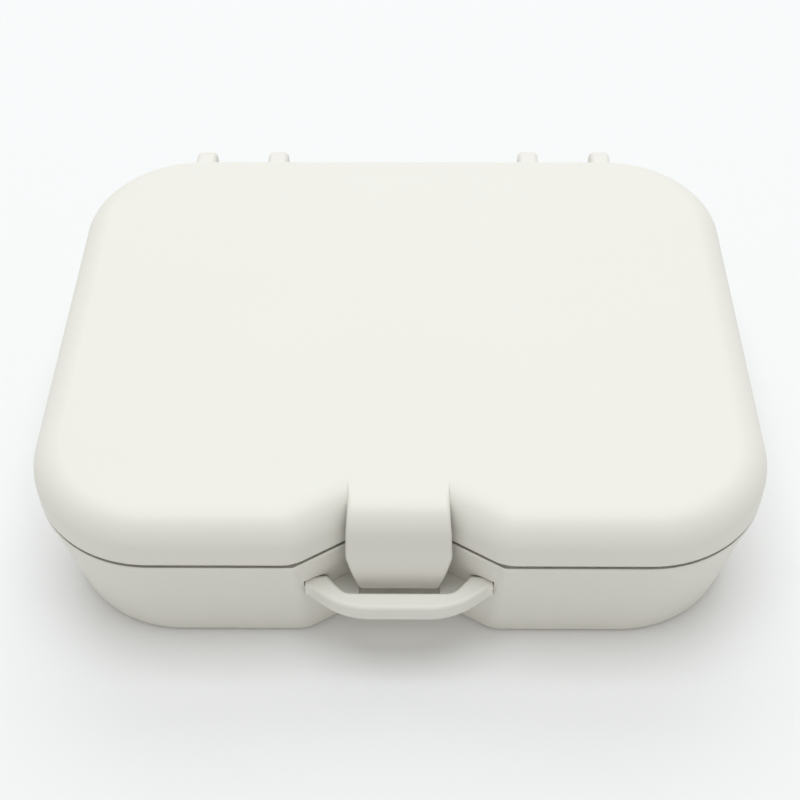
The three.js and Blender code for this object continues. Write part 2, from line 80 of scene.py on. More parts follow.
def add_camera():
    """Places the camera from its direction, its lean and its focal length in pixels of the photograph."""
    down, yaw = CAMERA_DOWN, CAMERA_YAW
    forward = Vector((math.sin(yaw) * math.cos(down), math.cos(yaw) * math.cos(down), -math.sin(down)))
    level = Vector((math.cos(yaw), -math.sin(yaw), 0))
    upright = level.cross(forward)
    right = level * math.cos(CAMERA_ROLL) + upright * math.sin(CAMERA_ROLL)
    up = upright * math.cos(CAMERA_ROLL) - level * math.sin(CAMERA_ROLL)
    data = bpy.data.cameras.new("camera")
    data.sensor_fit = "HORIZONTAL"
    data.lens = data.sensor_width * FOCAL_PIXELS / FRAME_PIXELS
    camera = add_object("camera", data)
    turn = Matrix((right, up, -forward)).transposed().to_4x4()
    camera.matrix_world = Matrix.Translation(CAMERA_PLACE) @ turn
    bpy.context.scene.camera = camera
    return camera


print("lens", round(add_camera().data.lens, 2), "mm")

# %% [markdown]
# ## Sizes
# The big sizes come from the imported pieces. The small ones, such as walls and roundings, are named here
# once, so that every piece that meets another takes its place from the same value.

# %% Sizes from the frame
pin_low, pin_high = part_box("hinge_pin_left")
lid_low, lid_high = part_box("lid_shell")
tab_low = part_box("latch_tab")[0]
handle_low, handle_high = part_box("carry_handle")
tray_low, tray_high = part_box("drain_tray")
glass_low, glass_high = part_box("mirror_glass")
bezel_low, bezel_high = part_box("mirror_bezel")

LENGTH = lid_high.x - lid_low.x
FRONT = lid_low.y
BACK = -FRONT
LID_TOP = lid_high.z

# %% Sizes of the mouldings
WALL = 2 * MM
FLOOR = 2 * MM
CEILING_THICKNESS = 1.8 * MM
PARTING_GAP = 0.6 * MM
TONGUE_INSET = 1.2 * MM
TONGUE_HEIGHT = 1.6 * MM
CLEARANCE = 0.3 * MM
CORNER_RADIUS = 20.5 * MM
LID_ROUNDING = 5.2 * MM
INNER_ROUNDING = 2.6 * MM
FOOT_ROUNDING = 1 * MM
LIP_ROUNDING = 0.3 * MM
LID_EDGE = 0.5 * MM
RIM_BEAD_HEIGHT = 1.1 * MM
RIM_BEAD_DEPTH = 0.12 * MM
BEAD_MIDDLE_SHARE = 0.55
BEAD_START_SHARE = 0.6
RIM_EDGE = 0.24 * MM
RIM_GROOVE_DEPTH = 0.8 * MM
BASE_TAPER = 3 * MM
NOTCH_TAPER = 1.9 * MM
NOTCH_MOUTH = 33.2 * MM
NOTCH_WIDTH = 14 * MM
NOTCH_DEPTH = 6 * MM
LID_MOUTH_ROUNDING = 7 * MM
RIM_MOUTH_ROUNDING = 0.8 * MM
FOOT_MOUTH_ROUNDING = 6 * MM
NOTCH_BACK_ROUNDING = 1.2 * MM
LEAST_ROUNDING = 0.4 * MM
LEAST_EDGE = 0.01 * MM
OVERRUN = 1 * MM

HINGE_DROP = 0.1 * MM
HINGE_Y = (pin_low.y + pin_high.y) / 2
HINGE_Z = (pin_low.z + pin_high.z) / 2
RIM = HINGE_Z + HINGE_DROP
LID_BOTTOM = RIM + PARTING_GAP
CEILING = LID_TOP - CEILING_THICKNESS
NOTCH_BACK = FRONT + NOTCH_DEPTH
NOTCH_SLOPE = NOTCH_DEPTH / (NOTCH_MOUTH / 2 - NOTCH_WIDTH / 2)
NOTCH_SLANT = math.atan(NOTCH_SLOPE)
print("rim at", in_mm(RIM), "mm and lid top at", in_mm(LID_TOP), "mm")

# %% [markdown]
# ## Outlines and lofts
# Both mouldings have the same outline from above: a rounded rectangle with a notch. A loft joins such
# outlines, one above the other, so a taper or a rounding is only a change of inset from ring to ring. It
# keeps the wall even, as a mould does.

# %% Outline helpers
CORNER_STEPS = 36
NOTCH_STEPS = 10
ROUND_STEPS = 8


def unit(vector):
    return vector / np.linalg.norm(vector)


def rounded_outline(corners):
    """Points of a closed outline from corners (x, y, radius, steps), anticlockwise."""
    points = []
    for index, (x, y, radius, steps) in enumerate(corners):
        at = np.array((x, y), float)
        to_last = unit(np.array(corners[index - 1][:2], float) - at)
        to_next = unit(np.array(corners[(index + 1) % len(corners)][:2], float) - at)
        if radius <= 0:
            points.append(at)
            continue
        half = math.acos(float(to_last @ to_next)) / 2
        centre = at + unit(to_last + to_next) * radius / math.sin(half)
        spoke = at + to_last * radius / math.tan(half) - centre
        side = np.sign(to_last[1] * to_next[0] - to_last[0] * to_next[1])
        for step in range(steps + 1):
            angle = side * (math.pi - 2 * half) * step / steps
            turn = np.array(((math.cos(angle), -math.sin(angle)), (math.sin(angle), math.cos(angle))))
            points.append(centre + turn @ spoke)
    return np.array(points)


def notch_half_width(y, inset):
    return NOTCH_MOUTH / 2 + inset / math.sin(NOTCH_SLANT) - (y - FRONT) / NOTCH_SLOPE


def case_outline(inset, mouth_rounding, side_draft=0, notch_draft=0):
    """The case from above, drawn in by an inset. Drafts move its sides and the walls of its notch."""
    x = LENGTH / 2 - inset - side_draft
    y = BACK - inset - side_draft
    notch_inset = inset + notch_draft
    inside_y = NOTCH_BACK + notch_inset
    inside_x = notch_half_width(inside_y, notch_inset)
    mouth_x = notch_half_width(-y, notch_inset)
    corner = (max(CORNER_RADIUS - inset, LEAST_ROUNDING), CORNER_STEPS)
    mouth = (max(mouth_rounding - inset, LEAST_ROUNDING), NOTCH_STEPS)
    inside = (NOTCH_BACK_ROUNDING + inset, NOTCH_STEPS)
    return rounded_outline([
        (inside_x, inside_y, *inside), (mouth_x, -y, *mouth), (x, -y, *corner), (x, y, *corner),
        (-x, y, *corner), (-x, -y, *corner), (-mouth_x, -y, *mouth), (-inside_x, inside_y, *inside),
    ])


def rectangle_outline(low, high, radius, steps=CORNER_STEPS):
    return rounded_outline([
        (low[0], low[1], radius, steps), (high[0], low[1], radius, steps),
        (high[0], high[1], radius, steps), (low[0], high[1], radius, steps),
    ])


def quarter(radius, steps=ROUND_STEPS):
    """Pairs (inset, rise) of a quarter round, from fully drawn in to not drawn in."""
    angles = [math.pi / 2 * step / steps for step in range(steps + 1)]
    return [(radius * (1 - math.sin(angle)), radius * (1 - math.cos(angle))) for angle in angles]


print("the outline has", len(case_outline(0, LID_MOUTH_ROUNDING)), "points")

# %% Bodies from outlines
CIRCLE_STEPS = 36
BAR_STEPS = 40


def new_piece(name, vertices, faces):
    """A mesh object at the origin, with its place in its mesh."""
    mesh = bpy.data.meshes.new(name)
    mesh.from_pydata([tuple(map(float, vertex)) for vertex in vertices], [], faces)
    return add_object(name, mesh)


def skin(name, loops, ring=False):
    """A closed body through loops of points, capped at both ends, or joined end to end as a ring."""
    count = len(loops[0])
    vertices = [point for loop in loops for point in loop]
    size = len(vertices)
    faces = []
    for level in range(len(loops) if ring else len(loops) - 1):
        for k in range(count):
            a, b = level * count + k, level * count + (k + 1) % count
            faces.append((a, b, (b + count) % size, (a + count) % size))
    if not ring:
        faces.append(tuple(reversed(range(count))))
        faces.append(tuple(range(size - count, size)))
    return new_piece(name, vertices, faces)


def loft(name, rings, ring=False):
    """A closed body through rings (outline, height), from the bottom up."""
    return skin(name, [[(x, y, z) for x, y in outline] for outline, z in rings], ring)


def prism_up(name, outline, low, high):
    return loft(name, [(outline, low), (outline, high)])


def drawn_in(profile, amount):
    """A closed profile, anticlockwise, with every side moved inwards by the same amount."""
    points = np.array(profile, float)
    along = np.roll(points, -1, axis=0) - points
    along /= np.linalg.norm(along, axis=1)[:, None]
    inward = np.stack((-along[:, 1], along[:, 0]), axis=1)
    before = np.roll(inward, 1, axis=0)
    share = 1 + np.sum(inward * before, axis=1)
    return points + amount * (inward + before) / share[:, None]


def prism_across(name, profile, low, high, rounding=0, steps=5):
    """A side view of points (y, z) drawn out along X, with rounded edges at both ends."""
    ends = quarter(rounding, steps) if rounding else [(0, 0)]
    near = [(low + rise, inset) for inset, rise in ends]
    far = [(high - rise, inset) for inset, rise in reversed(ends)]
    return skin(name, [[(x, y, z) for y, z in drawn_in(profile, inset)] for x, inset in near + far])


def block(name, low, high):
    return prism_up(name, rectangle_outline(low, high, 0), low[2], high[2])


def arc(centre_y, centre_z, radius, start, end, steps):
    angles = np.radians(np.linspace(start, end, steps + 1))
    return [(centre_y + radius * math.cos(angle), centre_z + radius * math.sin(angle)) for angle in angles]


def circle(centre_y, centre_z, radius, steps=CIRCLE_STEPS):
    return arc(centre_y, centre_z, radius, 0, 360 - 360 / steps, steps - 1)


def bar_across(name, radius, low, high, y, z, rounding=0):
    return prism_across(name, circle(y, z, radius, BAR_STEPS), low, high, rounding)


# %% [markdown]
# ## Joining and rounding
# Pieces are joined and cut with booleans, and their edges are rounded with bevels. Each modifier is
# turned into plain mesh at once, so that the next one works on a finished shape. At the end the shading is
# smooth, with sharp lines only where two faces meet at a clear angle.

# %% Joining and rounding
SMOOTH_ANGLE = math.radians(28)
BEVEL_ANGLE = math.radians(40)


def settle(piece):
    """Replaces a piece's mesh by what its modifiers make of it, and drops them."""
    bpy.context.view_layer.update()
    depsgraph = bpy.context.evaluated_depsgraph_get()
    mesh = bpy.data.meshes.new_from_object(piece.evaluated_get(depsgraph), depsgraph=depsgraph)
    piece.modifiers.clear()
    piece.data = mesh
    return piece


def combine(piece, tool, operation="UNION"):
    """Joins a tool to a piece, or cuts it out of the piece."""
    modifier = piece.modifiers.new("combine", "BOOLEAN")
    modifier.operation = operation
    modifier.object = tool
    modifier.solver = "EXACT"
    settle(piece)
    bpy.data.objects.remove(tool)
    return piece


def bevelled(piece, width, segments=3):
    modifier = piece.modifiers.new("edges", "BEVEL")
    modifier.width = width
    modifier.segments = segments
    modifier.limit_method = "ANGLE"
    modifier.angle_limit = BEVEL_ANGLE
    return settle(piece)


def mirror_copy(piece):
    """A second copy of a piece on the other side of the middle plane, with its faces still outwards."""
    twin = add_object(piece.name, piece.data.copy())
    twin.data.transform(Matrix.Scale(-1, 4, (1, 0, 0)))
    twin.data.flip_normals()
    return twin


def finish_surface(piece, material, angle=SMOOTH_ANGLE):
    """One material, smooth shading with crisp edges, and flat faces that stay flat."""
    piece.data.materials.clear()
    piece.data.materials.append(material)
    piece.data.shade_smooth()
    piece.data.set_sharp_from_angle(angle=angle)
    modifier = piece.modifiers.new("flat faces", "WEIGHTED_NORMAL")
    modifier.keep_sharp = True
    settle(piece)
    print(piece.name, "has", len(piece.data.polygons), "faces")


# %% [markdown]
# ## Moulded finish
# The shells are satin polypropylene. Up close such plastic is never one flat colour: the tool's fine
# grain breaks up the gloss, the wall thickness shifts the tone by a few parts in a hundred, and handling
# leaves faint rubs. One node group makes all three, and each material sets its own amounts.

# %% Moulded finish group
FLOW_SCALE = 22
RUB_SCALE = 140
RUB_STRETCH = (1, 6, 3)
RUB_AMOUNT = 0.06
GRAIN_SCALE = 2600
GRAIN_DEPTH = 0.012 * MM
GRAIN_STRENGTH = 0.5
PLASTIC_IOR = 1.49


def add_node(tree, kind, values=None, **settings):
    """A node with its settings, and with values for its inputs."""
    node = tree.nodes.new(kind)
    for setting, value in settings.items():
        setattr(node, setting, value)
    for socket, value in (values or {}).items():
        node.inputs[socket].default_value = value
    return node


def join(tree, *wires):
    """Links nodes. A wire is a node, an output of it, the next node and an input of that."""
    for source, output, target, socket in wires:
        tree.links.new(source.outputs[output], target.inputs[socket])


def new_group(name, kind, inputs, outputs):
    """A node group with its sockets, each given by a name, a type and maybe a first value."""
    tree = bpy.data.node_groups.new(name, kind)
    for in_out, sockets in (("INPUT", inputs), ("OUTPUT", outputs)):
        for title, type_name, *value in sockets:
            socket = tree.interface.new_socket(
                name=title, in_out=in_out, socket_type="NodeSocket" + type_name)
            if value:
                socket.default_value = value[0]
    return tree, add_node(tree, "NodeGroupInput"), add_node(tree, "NodeGroupOutput")


def build_moulded_finish():
    """Colour, roughness and normal of a moulded surface, from its place on the piece."""
    tree, inputs, outputs = new_group("moulded_finish", "ShaderNodeTree", [
        ("Tone", "Color", (0.8, 0.8, 0.8, 1)), ("Shade", "Color", (0.7, 0.7, 0.7, 1)),
        ("Roughness", "Float", 0.45), ("Grain Scale", "Float", GRAIN_SCALE),
        ("Grain Depth", "Float", GRAIN_DEPTH), ("Rub Amount", "Float", RUB_AMOUNT),
    ], [("Color", "Color"), ("Roughness", "Float"), ("Normal", "Vector")])
    place = add_node(tree, "ShaderNodeTexCoord")

    flow = add_node(tree, "ShaderNodeTexNoise", {"Scale": FLOW_SCALE, "Detail": 3})
    tone = add_node(tree, "ShaderNodeMix", data_type="RGBA")
    join(tree, (place, "Object", flow, "Vector"), (flow, "Fac", tone, "Factor"),
         (inputs, "Shade", tone, "A"), (inputs, "Tone", tone, "B"), (tone, "Result", outputs, "Color"))

    stretch = add_node(tree, "ShaderNodeMapping", {"Scale": RUB_STRETCH})
    rubs = add_node(tree, "ShaderNodeTexNoise", {"Scale": RUB_SCALE, "Detail": 6})
    spread = add_node(tree, "ShaderNodeMath", {1: 1 / 2}, operation="SUBTRACT")
    rough = add_node(tree, "ShaderNodeMath", operation="MULTIPLY_ADD")
    join(tree, (place, "Object", stretch, "Vector"), (stretch, "Vector", rubs, "Vector"),
         (rubs, "Fac", spread, 0), (spread, "Value", rough, 0), (inputs, "Rub Amount", rough, 1),
         (inputs, "Roughness", rough, 2), (rough, "Value", outputs, "Roughness"))

    grain = add_node(tree, "ShaderNodeTexNoise", {"Detail": 2})
    bump = add_node(tree, "ShaderNodeBump", {"Strength": GRAIN_STRENGTH})
    join(tree, (place, "Object", grain, "Vector"), (inputs, "Grain Scale", grain, "Scale"),
         (grain, "Fac", bump, "Height"), (inputs, "Grain Depth", bump, "Distance"),
         (bump, "Normal", outputs, "Normal"))
    return tree


MOULDED_FINISH = build_moulded_finish()
print("finish group has", len(MOULDED_FINISH.nodes), "nodes")

# %% Plastics and foam


def new_material(name, values):
    """A material, its nodes and its Principled shader, with values for that shader."""
    material = bpy.data.materials.new(name)
    material.use_nodes = True
    shader = material.node_tree.nodes["Principled BSDF"]
    for socket, value in values.items():
        shader.inputs[socket].default_value = value
    return material, material.node_tree, shader


def moulded_material(name, tone, shade, roughness, grain_scale=GRAIN_SCALE, grain_depth=GRAIN_DEPTH,
                     rub=RUB_AMOUNT):
    """A plastic that wears the moulded finish. Its colour drifts between a tone and a shade of it."""
    material, tree, shader = new_material(name, {"IOR": PLASTIC_IOR})
    finish = add_node(tree, "ShaderNodeGroup", {
        "Tone": (*tone, 1), "Shade": (*shade, 1), "Roughness": roughness,
        "Grain Scale": grain_scale, "Grain Depth": grain_depth, "Rub Amount": rub,
    }, node_tree=MOULDED_FINISH)
    join(tree, (finish, "Color", shader, "Base Color"), (finish, "Roughness", shader, "Roughness"),
         (finish, "Normal", shader, "Normal"))
    return material


SHELL = moulded_material("shell_satin", (0.752, 0.738, 0.688), (0.735, 0.72, 0.667), 0.46)
TRAY = moulded_material("tray_satin", (0.83, 0.825, 0.785), (0.81, 0.805, 0.765), 0.38, 2000)
FOAM = moulded_material("foam_pad", (0.86, 0.86, 0.84), (0.74, 0.74, 0.72), 0.9, 1400, 0.08 * MM, 0.02)
print("plastics:", SHELL.name, TRAY.name, "and the foam:", FOAM.name)

# %% [markdown]
# ## Metal and mirror
# The hinge pins are drawn wire, with fine lines round them. The mirror is silvered glass: almost no
# roughness, and only a trace of haze where a cloth has passed.

# %% Metal and mirror materials
STREAK_SCALE = 60
DULLEST_SHARE = 0.94


def streaked_metal(name, colour, roughness, streaks, amount):
    """A metal with fine lines: its roughness goes up by the amount, and its colour a little down."""
    material, tree, shader = new_material(name, {"Metallic": 1})
    dull = (*(DULLEST_SHARE * part for part in colour), 1)
    place = add_node(tree, "ShaderNodeTexCoord")
    stretch = add_node(tree, "ShaderNodeMapping", {"Scale": streaks})
    noise = add_node(tree, "ShaderNodeTexNoise", {"Scale": STREAK_SCALE, "Detail": 5})
    spread = add_node(tree, "ShaderNodeMapRange", {"To Min": roughness, "To Max": roughness + amount})
    tint = add_node(tree, "ShaderNodeMix", data_type="RGBA")
    tint.inputs["A"].default_value = dull
    tint.inputs["B"].default_value = (*colour, 1)
    join(tree, (place, "Object", stretch, "Vector"), (stretch, "Vector", noise, "Vector"),
         (noise, "Fac", spread, "Value"), (spread, "Result", shader, "Roughness"),
         (noise, "Fac", tint, "Factor"), (tint, "Result", shader, "Base Color"))
    return material


STEEL = streaked_metal("pin_steel", (0.62, 0.63, 0.64), 0.22, (40, 1, 1), 0.16)
SILVER = streaked_metal("mirror_silver", (0.86, 0.88, 0.885), 0.015, (1, 4, 1), 0.03)
print("metals:", STEEL.name, SILVER.name)

# %% [markdown]
# ## Hinge
# The lid carries four ears and the base two knuckles. An ear is one profile drawn out along the pin,
# rounded at the top, with a squared heel below that meets the base's back wall when the lid is fully
# open. The four ears are the same piece in four places, so Geometry Nodes places them.

# %% Hinge sizes
EAR_SPACING = 14.4 * MM
EAR_WIDTH = 4 * MM
EAR_RADIUS = 2.6 * MM
EAR_TOP_RADIUS = 3 * MM
EAR_TOP_RISE = 3.4 * MM
EAR_HEEL_REACH = 2.8 * MM
EAR_HEEL_DROP = 1.85 * MM
EAR_EDGE = 1 * MM
KNUCKLE_EDGE = 0.35 * MM
KNUCKLE_RADIUS = 2.5 * MM
KNUCKLE_GUSSET = 5.5 * MM
HINGE_PIN_RADIUS = 1 * MM
HINGE_SPACING = LENGTH - 2 * CORNER_RADIUS - EAR_SPACING
BORE_RADIUS = HINGE_PIN_RADIUS + CLEARANCE
print("two hinges", in_mm(HINGE_SPACING), "mm apart, on an axis", in_mm(HINGE_Z), "mm up")

# %% Places along X, made by Geometry Nodes


def end_tree(tree, last, output, inputs, outputs):
    """Makes the copies real, gives them the material, and hands them out."""
    real, dress = add_node(tree, "GeometryNodeRealizeInstances"), add_node(tree, "GeometryNodeSetMaterial")
    join(tree, (last, output, real, "Geometry"), (real, "Geometry", dress, "Geometry"),
         (inputs, "Material", dress, "Material"), (dress, "Geometry", outputs, "Geometry"))


def build_pair_placer():
    """Puts copies of a piece in pairs along X: a spacing within a pair, and a span between the pairs."""
    tree, inputs, outputs = new_group("pair_placer", "GeometryNodeTree", [
        ("Geometry", "Geometry"), ("Pair Span", "Float", 0.06), ("Spacing", "Float", 0.01),
        ("Material", "Material"),
    ], [("Geometry", "Geometry")])

    def two_of(piece, output, step):
        """Two copies a step apart, one on each side of the middle."""
        half = add_node(tree, "ShaderNodeMath", {1: -1 / 2}, operation="MULTIPLY")
        start, offset = add_node(tree, "ShaderNodeCombineXYZ"), add_node(tree, "ShaderNodeCombineXYZ")
        line = add_node(tree, "GeometryNodeMeshLine", {"Count": 2}, mode="OFFSET")
        copies = add_node(tree, "GeometryNodeInstanceOnPoints")
        join(tree, (inputs, step, half, 0), (half, "Value", start, "X"), (inputs, step, offset, "X"),
             (start, "Vector", line, "Start Location"), (offset, "Vector", line, "Offset"),
             (line, "Mesh", copies, "Points"), (piece, output, copies, "Instance"))
        return copies

    pair = two_of(inputs, "Geometry", "Spacing")
    end_tree(tree, two_of(pair, "Instances", "Pair Span"), "Instances", inputs, outputs)
    return tree


def run_tree(piece, tree, values):
    """Runs a tree of Geometry Nodes on a piece. Its inputs are set by name, through their identifiers."""
    modifier = piece.modifiers.new(tree.name, "NODES")
    modifier.node_group = tree
    for item in tree.interface.items_tree:
        if item.item_type == "SOCKET" and item.in_out == "INPUT" and item.name in values:
            modifier[item.identifier] = values[item.name]
    return settle(piece)


PAIR_PLACER = build_pair_placer()
print("pair placer has", len(PAIR_PLACER.nodes), "nodes")


def at_both_hinges(piece, spacing=0):
    return run_tree(piece, PAIR_PLACER, {"Pair Span": HINGE_SPACING, "Spacing": spacing, "Material": SHELL})


# %% Hinge ears and knuckles


def ear_profile():
    top_y = HINGE_Y - CLEARANCE / 2
    top_z = HINGE_Z + EAR_TOP_RISE
    root = BACK - WALL / 2
    return [
        (root, LID_BOTTOM + CLEARANCE),
        (HINGE_Y - EAR_RADIUS, LID_BOTTOM + CLEARANCE),
        *arc(HINGE_Y, HINGE_Z, EAR_RADIUS, 180, 290, 24),
        (HINGE_Y + EAR_HEEL_REACH, HINGE_Z - EAR_HEEL_DROP),
        *arc(top_y, top_z, EAR_TOP_RADIUS, 0, 90, 16),
        (root, top_z + EAR_TOP_RADIUS),
    ]


def hinge_ears():
    ear = prism_across("ears", ear_profile(), -EAR_WIDTH / 2, EAR_WIDTH / 2, EAR_EDGE)
    return at_both_hinges(ear, EAR_SPACING)


def hinge_knuckles():
    width = EAR_SPACING - EAR_WIDTH - 2 * CLEARANCE
    root = BACK - WALL / 2 - base_taper_at(HINGE_Z - KNUCKLE_GUSSET)
    profile = [
        (root, HINGE_Z - KNUCKLE_GUSSET),
        *arc(HINGE_Y, HINGE_Z, KNUCKLE_RADIUS, -50, 150, 32),
        (HINGE_Y - KNUCKLE_RADIUS, RIM - CLEARANCE),
        (root, RIM - CLEARANCE),
    ]
    knuckle = prism_across("knuckles", profile, -width / 2, width / 2, KNUCKLE_EDGE)
    return at_both_hinges(knuckle)


def hinge_bores():
    reach = EAR_SPACING / 2 + EAR_WIDTH
    middle = HINGE_SPACING / 2
    bore = bar_across("bores", BORE_RADIUS, middle - reach, middle + reach, HINGE_Y, HINGE_Z)
    return combine(bore, mirror_copy(bore))


def hinge_pin(name):
    low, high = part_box(name)
    lead = HINGE_PIN_RADIUS / 3
    radii = [(0, HINGE_PIN_RADIUS - lead), (lead, HINGE_PIN_RADIUS)]
    reach = [(low.x + step, radius) for step, radius in radii]
    reach += [(high.x - step, radius) for step, radius in reversed(radii)]
    loops = [[(x, y, z) for y, z in circle(HINGE_Y, HINGE_Z, radius)] for x, radius in reach]
    pin = skin(name + "_wire", loops)
    finish_surface(pin, STEEL)
    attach(pin, "base")
    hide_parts(name)


for pin_name in ("hinge_pin_left", "hinge_pin_right"):
    hinge_pin(pin_name)

# %% [markdown]
# ## Handle and its seats
# The handle is a flat strap bent round the notch. Its ends turn on short pins in two round pockets of the
# base, and it lies on a ledge in the notch. The strap is one outline drawn up and then rounded along its
# edges.

# %% Handle sizes
STRAP_WIDTH = 3.2 * MM
HANDLE_FLAT = 17.4 * MM
HANDLE_ARM_ANGLE = math.radians(37.5)
HANDLE_BEND = 12 * MM
INNER_FLAT = 17.4 * MM
INNER_ARM_ANGLE = math.radians(50)
INNER_BEND = 2.6 * MM
HANDLE_EDGE = 0.65 * MM
HANDLE_LOWER_EDGE = 0.25 * MM
HANDLE_PIN_RADIUS = 0.65 * MM
HANDLE_PIN_LENGTH = 1.8 * MM
HANDLE_BORE_RADIUS = 0.665 * MM
HANDLE_SWING = math.radians(22.5)
HANDLE_ROOM = 0.05 * MM
HANDLE_END_DEPTH = 0.9 * MM
PIVOT_SETBACK = 2.3 * MM
POCKET_RADIUS = 1.85 * MM
HANDLE_KNUCKLE = 3.6 * MM
HANDLE_END_GAP = 0.15 * MM
BOSS_WALL = 1.4 * MM
LEDGE_THICKNESS = 2 * MM
LEDGE_SETBACK = 2.2 * MM
LEDGE_NOSE_HALF = 7.6 * MM
LEDGE_NOSE_SETBACK = 0.4 * MM
LEDGE_NOSE_LIP = 0.6 * MM
TIP_RECESS_HALF = 6.6 * MM
TIP_RECESS_DEPTH = 1.4 * MM
TIP_RECESS_SETBACK = 4.7 * MM
LEDGE_DROP = 0.3 * MM

HANDLE_THICKNESS = handle_high.z - handle_low.z
HANDLE_HALF_SPAN = handle_high.x - HANDLE_PIN_LENGTH
PIVOT_Y = FRONT + PIVOT_SETBACK
PIVOT_Z = (handle_low.z + handle_high.z) / 2
LEDGE_TOP = handle_low.z - LEDGE_DROP
print("the handle's strap is", in_mm(HANDLE_THICKNESS), "mm thick, its ledge", in_mm(LEDGE_TOP), "mm up")

# %% Carry handle


def carry_handle():
    outer_y = handle_low.y
    inner_y = outer_y + STRAP_WIDTH
    end_y = PIVOT_Y + HANDLE_END_DEPTH
    outer_x = HANDLE_FLAT / 2
    inner_x = INNER_FLAT / 2
    outer_end = HANDLE_HALF_SPAN
    turn_y = outer_y + (outer_end - outer_x) * math.tan(HANDLE_ARM_ANGLE)
    inner_end = inner_x + (end_y - inner_y) / math.tan(INNER_ARM_ANGLE)
    bend, inner_bend = (HANDLE_BEND, 16), (INNER_BEND, 12)
    plan = rounded_outline([
        (-outer_x, outer_y, *bend), (outer_x, outer_y, *bend),
        (outer_end, turn_y, 0, 0), (outer_end, end_y, 0, 0),
        (inner_end, end_y, 0, 0), (inner_x, inner_y, *inner_bend), (-inner_x, inner_y, *inner_bend),
        (-inner_end, end_y, 0, 0), (-outer_end, end_y, 0, 0), (-outer_end, turn_y, 0, 0),
    ])
    rings = [(drawn_in(plan, inset), handle_low.z + rise)
             for inset, rise in quarter(HANDLE_LOWER_EDGE, ROUND_STEPS // 2)]
    rings += [(drawn_in(plan, inset), handle_high.z - rise) for inset, rise in reversed(quarter(HANDLE_EDGE))]
    strap = loft("handle_strap", rings)
    start = HANDLE_HALF_SPAN - HANDLE_KNUCKLE
    edge = HANDLE_EDGE / 3
    knuckle = bar_across("knuckle", HANDLE_THICKNESS / 2, start, HANDLE_HALF_SPAN, PIVOT_Y, PIVOT_Z, edge)
    pin = bar_across("pin", HANDLE_PIN_RADIUS, start, handle_high.x, PIVOT_Y, PIVOT_Z, edge)
    for end in (knuckle, pin):
        combine(strap, mirror_copy(end))
        combine(strap, end)
    finish_surface(strap, SHELL)
    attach(strap, "handle")
    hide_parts("carry_handle")


carry_handle()

# %% [markdown]
# ## Base moulding
# The base is one loft that goes up the outside, over the rim, up the tongue that fits into the lid, and
# down the inside to the floor. A body made this way is closed without any cutting, and its wall is even
# all round. Only the partition, the ledge, the hinge knuckles and the handle's seats are joined to it
# afterwards.

# %% Base loft
TAPER_LEVELS = 5
PARTITION_Y = 20 * MM
PARTITION_THICKNESS = 1.6 * MM
PARTITION_TOP = 18 * MM
CATCH_BOTTOM = 17.6 * MM
CATCH_HEIGHT = 1.8 * MM
CATCH_WIDTH = 10 * MM
CATCH_TIP = -42.9 * MM


def base_taper_at(z):
    return BASE_TAPER * (1 - z / RIM)


def notch_taper_at(z):
    return NOTCH_TAPER * (1 - z / RIM)


def base_ring(z, inset=0, mouth_rounding=LID_MOUTH_ROUNDING):
    return case_outline(inset, mouth_rounding, base_taper_at(z), notch_taper_at(z)), z


def outer_ring(z, inset=0):
    """A ring of the base's outside, whose corner at the notch is crisp at the rim and round at the foot."""
    share = z / RIM
    return base_ring(z, inset, RIM_MOUTH_ROUNDING * share + FOOT_MOUTH_ROUNDING * (1 - share))


def level_ring(z, inset):
    return case_outline(inset, LID_MOUTH_ROUNDING), z


def rim_bead():
    """Rings of the bead under the rim: it swells out of the wall, leans back and ends in a groove."""
    bottom, middle = RIM - RIM_BEAD_HEIGHT, RIM - RIM_BEAD_HEIGHT * BEAD_MIDDLE_SHARE
    start = outer_ring(bottom + RIM_BEAD_DEPTH, RIM_BEAD_DEPTH * BEAD_START_SHARE)
    rings = [outer_ring(bottom, RIM_BEAD_DEPTH), start]
    for inset, rise in reversed(quarter(1)):
        rings.append(outer_ring(RIM - (RIM - middle) * rise, RIM_EDGE * inset))
    groove = RIM - RIM_GROOVE_DEPTH
    return rings + [outer_ring(groove, 2 * RIM_EDGE), level_ring(groove, TONGUE_INSET)]


def levels(start, end):
    """Heights between two ends, without the first one."""
    return [start + (end - start) * step / TAPER_LEVELS for step in range(1, TAPER_LEVELS + 1)]


def base_rings():
    rings = [outer_ring(0, FOOT_ROUNDING + RIM_BEAD_DEPTH + OVERRUN)]
    rings += [outer_ring(rise, inset + RIM_BEAD_DEPTH) for inset, rise in quarter(FOOT_ROUNDING)]
    rings += [outer_ring(z, RIM_BEAD_DEPTH) for z in levels(FOOT_ROUNDING, RIM - RIM_BEAD_HEIGHT)][:-1]
    rings += rim_bead()
    tongue_top = RIM + TONGUE_HEIGHT
    tongue_edge = tongue_top - LIP_ROUNDING
    rings += [level_ring(tongue_edge, TONGUE_INSET), level_ring(tongue_top, TONGUE_INSET + LIP_ROUNDING)]
    rings += [level_ring(tongue_top, WALL - LIP_ROUNDING / 2), level_ring(tongue_edge, WALL)]
    rings += [level_ring(RIM, WALL)]
    rings += [base_ring(z, WALL) for z in levels(RIM, FLOOR + INNER_ROUNDING)]
    rings += [base_ring(FLOOR + rise, WALL + inset) for inset, rise in reversed(quarter(INNER_ROUNDING))][1:]
    rings += [base_ring(FLOOR, WALL + INNER_ROUNDING + OVERRUN)]
    return rings


def base_partition():
    half = LENGTH / 2 - WALL - BASE_TAPER / 2
    low, high = PARTITION_Y - PARTITION_THICKNESS / 2, PARTITION_Y + PARTITION_THICKNESS / 2
    plate = block("partition", (-half, low, FLOOR / 2), (half, high, PARTITION_TOP))
    return bevelled(plate, PARTITION_THICKNESS / 4)


